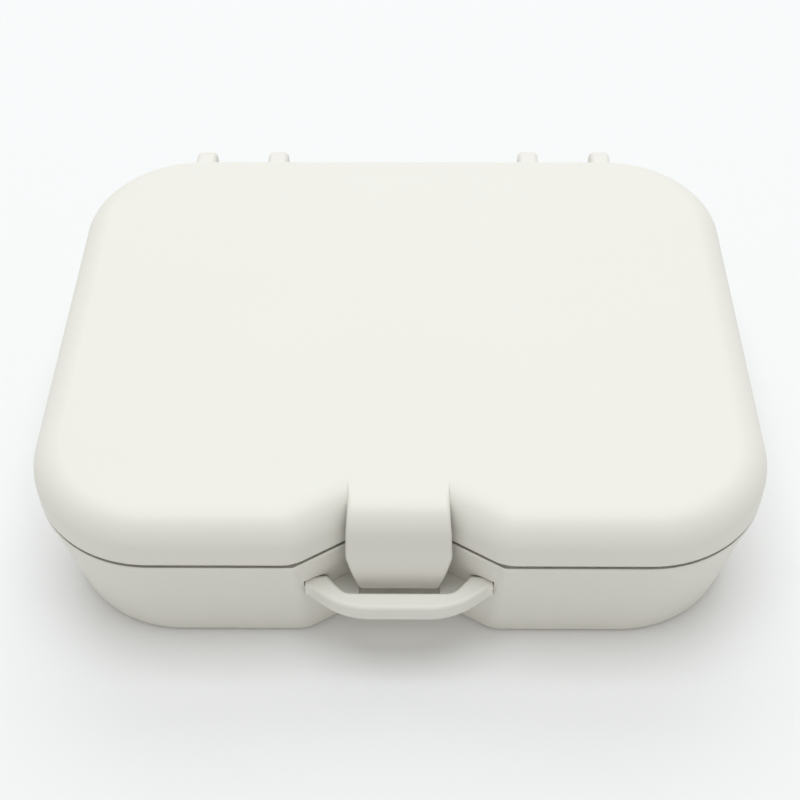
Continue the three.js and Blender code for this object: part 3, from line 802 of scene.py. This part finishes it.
def ledge_outline(setback):
    """The ledge from above: a straight front with a nose in the middle, as far as the handle covers it."""
    inset = notch_taper_at(LEDGE_TOP) + WALL / 2
    near_y, far_y = FRONT + setback, NOTCH_BACK + inset
    near, far = notch_half_width(near_y, inset), notch_half_width(far_y, inset)
    nose_y = near_y - (LEDGE_SETBACK - LEDGE_NOSE_SETBACK)
    nose_foot = LEDGE_NOSE_HALF + (near_y - nose_y) / math.tan(INNER_ARM_ANGLE)
    right = [(LEDGE_NOSE_HALF, nose_y), (nose_foot, near_y), (near, near_y), (far, far_y)]
    return np.array([(-x, y) for x, y in reversed(right)] + right)


def base_ledge():
    """The ledge under the handle, with a sloping front and a shallow recess under the snap tab's tip."""
    bottom = LEDGE_TOP - LEDGE_THICKNESS
    foot = ledge_outline(LEDGE_SETBACK + LEDGE_THICKNESS)
    ledge = loft("ledge", [(foot, bottom), (ledge_outline(LEDGE_SETBACK), LEDGE_TOP)])
    bevelled(ledge, LIP_ROUNDING)
    low = (-TIP_RECESS_HALF, FRONT + LEDGE_NOSE_SETBACK + LEDGE_NOSE_LIP, LEDGE_TOP - TIP_RECESS_DEPTH)
    high = (TIP_RECESS_HALF, FRONT + TIP_RECESS_SETBACK, LEDGE_TOP + OVERRUN)
    return combine(ledge, block("tip_recess", low, high), "DIFFERENCE")


def catch_rib():
    root = NOTCH_BACK + notch_taper_at(CATCH_BOTTOM) + WALL / 2
    slope = CATCH_HEIGHT / 3
    profile = [
        (root, CATCH_BOTTOM), (CATCH_TIP + slope, CATCH_BOTTOM), (CATCH_TIP, CATCH_BOTTOM + slope / 2),
        (CATCH_TIP, CATCH_BOTTOM + CATCH_HEIGHT - slope), (CATCH_TIP + slope, CATCH_BOTTOM + CATCH_HEIGHT),
        (root, CATCH_BOTTOM + CATCH_HEIGHT),
    ]
    return prism_across("catch", profile[::-1], -CATCH_WIDTH / 2, CATCH_WIDTH / 2, LIP_ROUNDING / 2)


def outer_body():
    """The base's outside as a solid, which trims what is joined to the inside."""
    depth = WALL / 4
    rings = [base_ring(0, FOOT_ROUNDING), base_ring(FOOT_ROUNDING, depth), base_ring(RIM, depth)]
    return loft("outer_body", rings)


def pivot_bosses():
    around = POCKET_RADIUS + BOSS_WALL
    front = FRONT + base_taper_at(PIVOT_Z) + WALL / 3
    start = HANDLE_HALF_SPAN - HANDLE_KNUCKLE - 2 * BOSS_WALL
    end = handle_high.x + CLEARANCE + BOSS_WALL
    high = (end, PIVOT_Y + around, PIVOT_Z + around)
    boss = block("boss", (start, PIVOT_Y + POCKET_RADIUS / 2, PIVOT_Z - around), high)
    outer = block("boss_end", (HANDLE_HALF_SPAN, front, PIVOT_Z - around), high)
    combine(boss, outer)
    return combine(boss, outer_body(), "INTERSECT")


def pocket_profile():
    """The pocket from the side: round behind the pin, and in front as high as the arm swings."""
    height = HANDLE_THICKNESS / 2 + HANDLE_ROOM
    reach = HANDLE_END_DEPTH + POCKET_RADIUS
    top = (height + reach * math.sin(HANDLE_SWING)) / math.cos(HANDLE_SWING)
    meeting = 90 - math.degrees(HANDLE_SWING - math.acos(height / POCKET_RADIUS))
    return [
        (PIVOT_Y - reach, PIVOT_Z - POCKET_RADIUS),
        *arc(PIVOT_Y, PIVOT_Z, POCKET_RADIUS, -90, meeting, 30),
        (PIVOT_Y - reach, PIVOT_Z + top),
    ]


def handle_pockets():
    start = HANDLE_HALF_SPAN - HANDLE_KNUCKLE - HANDLE_ROOM
    pocket = prism_across("pocket", pocket_profile(), start, HANDLE_HALF_SPAN + HANDLE_END_GAP)
    far = handle_high.x + CLEARANCE
    bore = bar_across("bore", HANDLE_BORE_RADIUS, HANDLE_HALF_SPAN, far, PIVOT_Y, PIVOT_Z)
    return combine(pocket, bore)


# %% Base moulding joined


def base_shell():
    shell = loft("base_moulding", base_rings())
    boss = pivot_bosses()
    for part in (base_partition(), base_ledge(), catch_rib(), mirror_copy(boss), boss, hinge_knuckles()):
        combine(shell, part)
    pocket = handle_pockets()
    for hole in (mirror_copy(pocket), pocket, hinge_bores()):
        combine(shell, hole, "DIFFERENCE")
    finish_surface(shell, SHELL)
    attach(shell, "base")
    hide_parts("base_shell")


base_shell()

# %% [markdown]
# ## Lid moulding
# The lid starts at its ceiling inside, goes down to the lip that hangs over the tongue, and comes up
# outside through a wide rounding to the flat top. The seat for the snap tab is cut to the tab's own
# outline, so that the two surfaces run into each other as they do in one moulding.

# %% Lid loft
TAB_ROOT_THICKNESS = 2.1 * MM
MIRROR_ROUNDING = 6 * MM
FRAME_RIB = 1.2 * MM
FRAME_RIB_HEIGHT = 2.4 * MM
TAB_SEAT_HALF = 8 * MM
TAB_ROOT = NOTCH_BACK + 4.7 * MM
SEAT_FLOOR = LID_TOP - TAB_ROOT_THICKNESS - CLEARANCE


def lid_rings():
    rebate = TONGUE_INSET - CLEARANCE - LIP_ROUNDING / 6
    rebate_top = RIM + TONGUE_HEIGHT + CLEARANCE
    rings = [level_ring(CEILING, WALL + INNER_ROUNDING + OVERRUN)]
    rings += [level_ring(CEILING - rise, WALL + inset) for inset, rise in quarter(INNER_ROUNDING)]
    rings += [level_ring(rebate_top, WALL), level_ring(rebate_top, rebate)]
    lip = LIP_ROUNDING / 3
    rings += [level_ring(LID_BOTTOM + lip, rebate), level_ring(LID_BOTTOM, rebate - lip)]
    rings += [level_ring(LID_BOTTOM + rise, inset) for inset, rise in quarter(LID_EDGE)]
    rings += [level_ring(LID_TOP - rise, inset)
              for inset, rise in reversed(quarter(LID_ROUNDING, 2 * ROUND_STEPS))]
    rings += [level_ring(LID_TOP, LID_ROUNDING + OVERRUN)]
    return rings


def around_glass(margin):
    """The glass from above, grown by a margin."""
    low = (glass_low.x - margin, glass_low.y - margin)
    high = (glass_high.x + margin, glass_high.y + margin)
    return rectangle_outline(low, high, MIRROR_ROUNDING + margin)


def mirror_frame():
    """A low rib on the ceiling, round the bezel."""
    inner = bezel_high.x - glass_high.x + CLEARANCE
    outer = inner + FRAME_RIB
    bottom = CEILING - FRAME_RIB_HEIGHT
    frame_rib = prism_up("frame_rib", around_glass(outer), bottom, CEILING + CEILING_THICKNESS / 2)
    hole = prism_up("frame_hole", around_glass(inner), bottom - OVERRUN, CEILING + CEILING_THICKNESS)
    return bevelled(combine(frame_rib, hole, "DIFFERENCE"), LIP_ROUNDING)


def tab_boss():
    half = TAB_SEAT_HALF + CLEARANCE + WALL
    low = (-half, NOTCH_BACK + WALL / 2, SEAT_FLOOR - WALL)
    return block("tab_boss", low, (half, TAB_ROOT + WALL, CEILING + CLEARANCE))


def lid_shell():
    shell = loft("lid_moulding", lid_rings())
    for part in (mirror_frame(), tab_boss(), hinge_ears()):
        combine(shell, part)
    seat_corner = (TAB_SEAT_HALF, TAB_ROOT, LID_TOP + OVERRUN)
    seat = block("tab_seat", (-TAB_SEAT_HALF, FRONT, SEAT_FLOOR), seat_corner)
    combine(shell, seat, "DIFFERENCE")
    combine(shell, hinge_bores(), "DIFFERENCE")
    finish_surface(shell, SHELL)
    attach(shell, "lid")
    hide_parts("lid_shell")


lid_shell()

# %% [markdown]
# ## Snap tab
# The tab is a bent plate: flush with the lid's top, over a wide bend and down into the notch, with its
# lower corners cut off at a slant. Its outer and inner faces are two rows of points down the side view,
# and its half width is a rule of the height, so the plate is woven from cross rows.

# %% Snap tab sizes
TAB_THICKNESS = 1.7 * MM
TAB_ROUNDING = 4.4 * MM
TAB_CURL = 1.3 * MM
TAB_CURL_HEIGHT = 4.6 * MM
TAB_BOW = 0.7 * MM
TAB_BOW_START = 23 * MM
TAB_WAIST_HALF = 8.3 * MM
TAB_HALF = 8.5 * MM
TAB_TIP_HALF = 6.35 * MM
TAB_SHOULDER = 20.5 * MM
TAB_SHOULDER_BEND = 0.3 * MM
TAB_EDGE = 0.7 * MM
TAB_EDGE_RUN = 4 * MM
TAB_EDGE_STEPS = 5
TAB_TOP_ROWS = 12
TAB_BEND_ROWS = 18
TAB_FRONT_ROWS = 40
TAB_CURL_ROWS = 13
HOOK_WIDTH = 8 * MM
HOOK_TOP = 17.3 * MM
HOOK_HEIGHT = 2.2 * MM
HOOK_REACH = 0.6 * MM
print("the tab hangs from", in_mm(LID_TOP), "down to", in_mm(tab_low.z), "mm")

# %% Snap tab


def eased(share):
    """A share, held between 0 and 1, that starts and ends gently."""
    share = min(max(share, 0), 1)
    return share * share * (3 - 2 * share)


def tab_half_width(z):
    """Half the tab's width at a height: least at the tip, most at the shoulder, a little less above."""
    slant = (TAB_HALF - TAB_TIP_HALF) / (TAB_SHOULDER - tab_low.z)
    below, above = TAB_SHOULDER - TAB_SHOULDER_BEND, TAB_SHOULDER + TAB_SHOULDER_BEND
    heights = [tab_low.z, below, above, LID_TOP - TAB_ROUNDING, LID_TOP]
    halves = [TAB_TIP_HALF, TAB_HALF - slant * TAB_SHOULDER_BEND, TAB_HALF, TAB_WAIST_HALF, TAB_SEAT_HALF]
    return float(np.interp(z, heights, halves))


def tab_sides():
    """Matching places on the outer and the inner face, from the root to the tip, as points (y, z)."""
    front, inner = tab_low.y, tab_low.y + TAB_THICKNESS
    bend_y, bend_z = front + TAB_ROUNDING, LID_TOP - TAB_ROUNDING
    along = np.linspace(TAB_ROOT, bend_y, TAB_TOP_ROWS)
    outer = [(y, LID_TOP) for y in along]
    under = [(y, LID_TOP - TAB_ROOT_THICKNESS) for y in along]
    outer += arc(bend_y, bend_z, TAB_ROUNDING, 90, 180, TAB_BEND_ROWS)[1:]
    under += arc(bend_y, bend_z, TAB_ROUNDING - TAB_THICKNESS, 90, 180, TAB_BEND_ROWS)[1:]
    curl_top = tab_low.z + TAB_CURL_HEIGHT
    for z in np.linspace(bend_z, curl_top, TAB_FRONT_ROWS)[1:]:
        bow = TAB_BOW * eased((TAB_BOW_START - z) / (TAB_BOW_START - curl_top))
        outer.append((front - bow, z))
        under.append((inner - bow, z))
    for angle in np.radians(np.linspace(0, 90, TAB_CURL_ROWS))[1:]:
        z = curl_top - TAB_CURL_HEIGHT * math.sin(angle)
        outer.append((front - TAB_BOW + TAB_CURL * (1 - math.cos(angle)), z))
        under.append((inner - TAB_BOW, z))
    return outer, under


def tab_section(outer, under, half, rounding):
    """Points round the plate at one place: a rounded rectangle between its outer and its inner face."""
    outer, under = np.array(outer), np.array(under)
    depth = float(np.linalg.norm(under - outer))
    inward = (under - outer) / depth
    corner = (min(rounding, depth / 2.2), TAB_EDGE_STEPS)
    outline = rounded_outline([
        (half, 0, *corner), (-half, 0, *corner), (-half, depth, *corner), (half, depth, *corner),
    ])
    return [(x, *(outer + inward * drop)) for x, drop in outline]


def latch_tab():
    loops = []
    for outer, under in zip(*tab_sides()):
        rounding = LEAST_EDGE + (TAB_EDGE - LEAST_EDGE) * eased((TAB_ROOT - outer[0]) / TAB_EDGE_RUN)
        loops.append(tab_section(outer, under, tab_half_width(outer[1]), rounding))
    tab = skin("snap_tab", loops)
    inner = tab_low.y + TAB_THICKNESS
    root = inner - TAB_THICKNESS / 2
    hook = prism_across("hook", [
        (root, HOOK_TOP - HOOK_HEIGHT), (inner, HOOK_TOP - HOOK_HEIGHT),
        (inner + HOOK_REACH, HOOK_TOP - HOOK_HEIGHT / 3), (inner + HOOK_REACH, HOOK_TOP), (root, HOOK_TOP),
    ], -HOOK_WIDTH / 2, HOOK_WIDTH / 2, LIP_ROUNDING / 3)
    combine(tab, hook)
    finish_surface(tab, SHELL)
    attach(tab, "latch")
    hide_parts("latch_tab")


latch_tab()

# %% [markdown]
# ## Mirror
# A foam pad, a sheet of silvered glass with a ground edge, and a bezel that holds the glass at its rim.
# The bezel is one loft, as the shells are, but joined end to end: down the window, across the face, up
# the outside and in again.

# %% Mirror pieces
GLASS_EDGE = 0.25 * MM
GROUND_EDGE_ANGLE = math.radians(20)
BEZEL_LIP = 1.8 * MM
BEZEL_EDGE = 0.5 * MM


def mirror_glass():
    glass = prism_up("mirror_sheet", around_glass(0), glass_low.z, glass_high.z)
    bevelled(glass, GLASS_EDGE, 1)
    finish_surface(glass, SILVER, GROUND_EDGE_ANGLE)
    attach(glass, "lid")
    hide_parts("mirror_glass")


def mirror_bezel():
    outer = bezel_high.x - glass_high.x
    seat = glass_low.z - CLEARANCE
    edge = bezel_low.z + BEZEL_EDGE
    bezel = loft("mirror_surround", [(around_glass(margin), z) for margin, z in (
        (CLEARANCE, seat), (-BEZEL_LIP, seat), (-BEZEL_LIP, edge), (BEZEL_EDGE - BEZEL_LIP, bezel_low.z),
        (outer - BEZEL_EDGE, bezel_low.z), (outer, edge), (outer, bezel_high.z), (CLEARANCE, bezel_high.z),
    )], ring=True)
    finish_surface(bezel, SHELL)
    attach(bezel, "lid")
    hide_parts("mirror_bezel")


mirror_glass()
mirror_bezel()
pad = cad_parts["mirror_pad"]
pad.data.materials.clear()
pad.data.materials.append(FOAM)

# %% [markdown]
# ## Drain tray
# The tray is a shallow basket with a slotted floor. The slots are one shape repeated over a grid, so
# Geometry Nodes makes the grid and cuts it out of the floor in one tree.

# %% Slotted floor, made by Geometry Nodes
TRAY_FOOT = 2.4 * MM
TRAY_WALL = 1.2 * MM
TRAY_TAPER = 1 * MM
TRAY_ROUNDING = 14 * MM
TRAY_EDGE = 0.4 * MM
TRAY_FOOT_RADIUS = 2.6 * MM
FOOT_TAPER_SHARE = 0.8
SLOT_LENGTH = 12 * MM
SLOT_WIDTH = 2.4 * MM
SLOT_PITCH_X = 16.4 * MM
SLOT_PITCH_Y = 6.4 * MM
TRAY_BORDER = 7 * MM
TRAY_CORNER_STEPS = 20
SLOT_CORNER_STEPS = 8


def build_slot_grid():
    """Cuts a grid of copies of a slot out of a basket."""
    sizes = ("Pitch X", "Pitch Y", "Centre X", "Centre Y")
    tree, inputs, outputs = new_group("slot_grid", "GeometryNodeTree", [
        ("Geometry", "Geometry"), ("Slot", "Object"), ("Count X", "Int", 1), ("Count Y", "Int", 1),
        *((size, "Float", 0) for size in sizes), ("Material", "Material"),
    ], [("Geometry", "Geometry")])
    grid, centre = add_node(tree, "GeometryNodeMeshGrid"), add_node(tree, "ShaderNodeCombineXYZ")
    for axis in ("X", "Y"):
        fewer = add_node(tree, "ShaderNodeMath", {1: 1}, operation="SUBTRACT")
        span = add_node(tree, "ShaderNodeMath", operation="MULTIPLY")
        join(tree, (inputs, "Count " + axis, fewer, 0), (fewer, "Value", span, 0),
             (inputs, "Pitch " + axis, span, 1), (span, "Value", grid, "Size " + axis),
             (inputs, "Count " + axis, grid, "Vertices " + axis), (inputs, "Centre " + axis, centre, axis))
    move = add_node(tree, "GeometryNodeTransform")
    slot = add_node(tree, "GeometryNodeObjectInfo")
    slots = add_node(tree, "GeometryNodeInstanceOnPoints")
    real = add_node(tree, "GeometryNodeRealizeInstances")
    cut = add_node(tree, "GeometryNodeMeshBoolean", operation="DIFFERENCE")
    join(tree, (grid, "Mesh", move, "Geometry"), (centre, "Vector", move, "Translation"),
         (inputs, "Slot", slot, "Object"), (move, "Geometry", slots, "Points"),
         (slot, "Geometry", slots, "Instance"), (slots, "Instances", real, "Geometry"),
         (inputs, "Geometry", cut, "Mesh 1"), (real, "Geometry", cut, "Mesh 2"))
    end_tree(tree, cut, "Mesh", inputs, outputs)
    return tree


SLOT_GRID = build_slot_grid()
print("slot grid has", len(SLOT_GRID.nodes), "nodes")

# %% Drain tray


def tray_outline(inset):
    low, high = (tray_low.x + inset, tray_low.y + inset), (tray_high.x - inset, tray_high.y - inset)
    return rectangle_outline(low, high, max(TRAY_ROUNDING - inset, LEAST_ROUNDING), TRAY_CORNER_STEPS)


def tray_basket():
    bottom, top = tray_low.z + TRAY_FOOT, tray_high.z
    inner = TRAY_TAPER + TRAY_WALL
    bend = 3 * TRAY_EDGE
    rings = [(tray_outline(TRAY_TAPER + bend + OVERRUN), bottom)]
    rings += [(tray_outline(TRAY_TAPER + inset), bottom + rise) for inset, rise in quarter(bend, 6)]
    rings += [(tray_outline(0), top - TRAY_EDGE), (tray_outline(TRAY_EDGE / 2), top)]
    rings += [(tray_outline(TRAY_WALL - TRAY_EDGE / 2), top), (tray_outline(TRAY_WALL), top - TRAY_EDGE)]
    rings += [(tray_outline(inner + inset), bottom + TRAY_WALL + rise)
              for inset, rise in reversed(quarter(TRAY_EDGE, 4))]
    rings += [(tray_outline(inner + TRAY_EDGE + OVERRUN), bottom + TRAY_WALL)]
    return loft("tray_basket", rings)


def add_tray_feet(basket):
    """Four feet near the corners. The slots are cut after them, so that no foot fills a slot's end."""
    foot_x = tray_high.x - TRAY_ROUNDING
    top = tray_low.z + TRAY_FOOT + TRAY_WALL / 2
    for x in (-foot_x, foot_x):
        for y in (tray_low.y + TRAY_ROUNDING, tray_high.y - TRAY_ROUNDING):
            foot = loft("foot", [
                (circle(x, y, TRAY_FOOT_RADIUS * FOOT_TAPER_SHARE), tray_low.z),
                (circle(x, y, TRAY_FOOT_RADIUS), top),
            ])
            combine(basket, bevelled(foot, LIP_ROUNDING))


def drain_tray():
    basket = tray_basket()
    add_tray_feet(basket)
    bottom = tray_low.z + TRAY_FOOT
    corner = (SLOT_LENGTH / 2, SLOT_WIDTH / 2)
    rounding = SLOT_WIDTH / 2 - LIP_ROUNDING / 3
    outline = rectangle_outline((-corner[0], -corner[1]), corner, rounding, SLOT_CORNER_STEPS)
    slot = prism_up("slot_cutter", outline, bottom - OVERRUN, bottom + TRAY_WALL + OVERRUN)
    across = int((tray_high.x - tray_low.x - 2 * TRAY_BORDER) // SLOT_PITCH_X)
    deep = int((tray_high.y - tray_low.y - 2 * TRAY_BORDER) // SLOT_PITCH_Y)
    run_tree(basket, SLOT_GRID, {
        "Slot": slot, "Material": TRAY, "Count X": across, "Count Y": deep,
        "Pitch X": SLOT_PITCH_X, "Pitch Y": SLOT_PITCH_Y,
        "Centre X": (tray_low.x + tray_high.x) / 2, "Centre Y": (tray_low.y + tray_high.y) / 2,
    })
    print("the tray has", across, "by", deep, "slots")
    bpy.data.objects.remove(slot)
    finish_surface(basket, TRAY)
    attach(basket, "base")
    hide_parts("drain_tray")


drain_tray()

# %% [markdown]
# ## Floor and light
# The floor is a pale sweep without an edge in view. The light is what a small product tent gives: an even
# glow from all round, one broad lamp overhead and a weaker one behind. The top becomes the brightest
# face, the front stays a tone darker, and the shadow at the foot is short and soft.

# %% Floor
FLOOR_SIZE = 3
FLOOR_COLOUR = (0.84, 0.84, 0.845, 1)
FLOOR_ROUGHNESS = 0.9
FLOOR_GLOSS = 0.1


def add_floor():
    half = FLOOR_SIZE / 2
    corners = [(-half, -half, 0), (half, -half, 0), (half, half, 0), (-half, half, 0)]
    floor = new_piece("floor", corners, [(0, 1, 2, 3)])
    floor.data.materials.append(new_material("floor_paper", {
        "Base Color": FLOOR_COLOUR, "Roughness": FLOOR_ROUGHNESS, "Specular IOR Level": FLOOR_GLOSS,
    })[0])


add_floor()
print("floor of", FLOOR_SIZE, "m")

# %% Light
GLOW_STRENGTH = 0.585
GLOW_COLOUR = (1, 0.985, 0.93, 1)
LAMP_COLOUR = (0.9, 0.95, 1)
TOP_PLACE = Vector((0, 0.08, 2.6))
TOP_SIZE = (2.2, 1.4)
TOP_POWER = 32
BACK_PLACE = Vector((0, 1.8, 1.9))
BACK_SIZE = (2.4, 1.6)
BACK_POWER = 19


def add_world():
    world = bpy.data.worlds.new("tent")
    bpy.context.scene.world = world
    world.use_nodes = True
    tree = world.node_tree
    tree.nodes.clear()
    glow = add_node(tree, "ShaderNodeBackground", {"Color": GLOW_COLOUR, "Strength": GLOW_STRENGTH})
    white = add_node(tree, "ShaderNodeBackground", {"Color": (1, 1, 1, 1), "Strength": 1})
    rays, mix = add_node(tree, "ShaderNodeLightPath"), add_node(tree, "ShaderNodeMixShader")
    output = add_node(tree, "ShaderNodeOutputWorld")
    seen, either = (add_node(tree, "ShaderNodeMath", operation="MAXIMUM") for _ in range(2))
    join(tree, (rays, "Is Camera Ray", seen, 0), (rays, "Is Glossy Ray", seen, 1),
         (seen, "Value", either, 0), (rays, "Is Transmission Ray", either, 1),
         (either, "Value", mix, "Fac"), (glow, "Background", mix, 1), (white, "Background", mix, 2),
         (mix, "Shader", output, "Surface"))


def add_lamp(name, place, size, power):
    """A broad lamp that faces the case. Its size is its width along X and its other side."""
    data = bpy.data.lights.new(name, "AREA")
    data.shape = "RECTANGLE"
    data.size, data.size_y = size
    data.energy = power
    data.color = LAMP_COLOUR
    lamp = add_object(name, data)
    lamp.location = place
    lamp.rotation_euler = (-place).to_track_quat("-Z", "Y").to_euler()


add_world()
add_lamp("top_lamp", TOP_PLACE, TOP_SIZE, TOP_POWER)
add_lamp("back_lamp", BACK_PLACE, BACK_SIZE, BACK_POWER)
bpy.context.scene.view_settings.view_transform = "Standard"
print("lamps of", TOP_POWER, "and", BACK_POWER, "W")
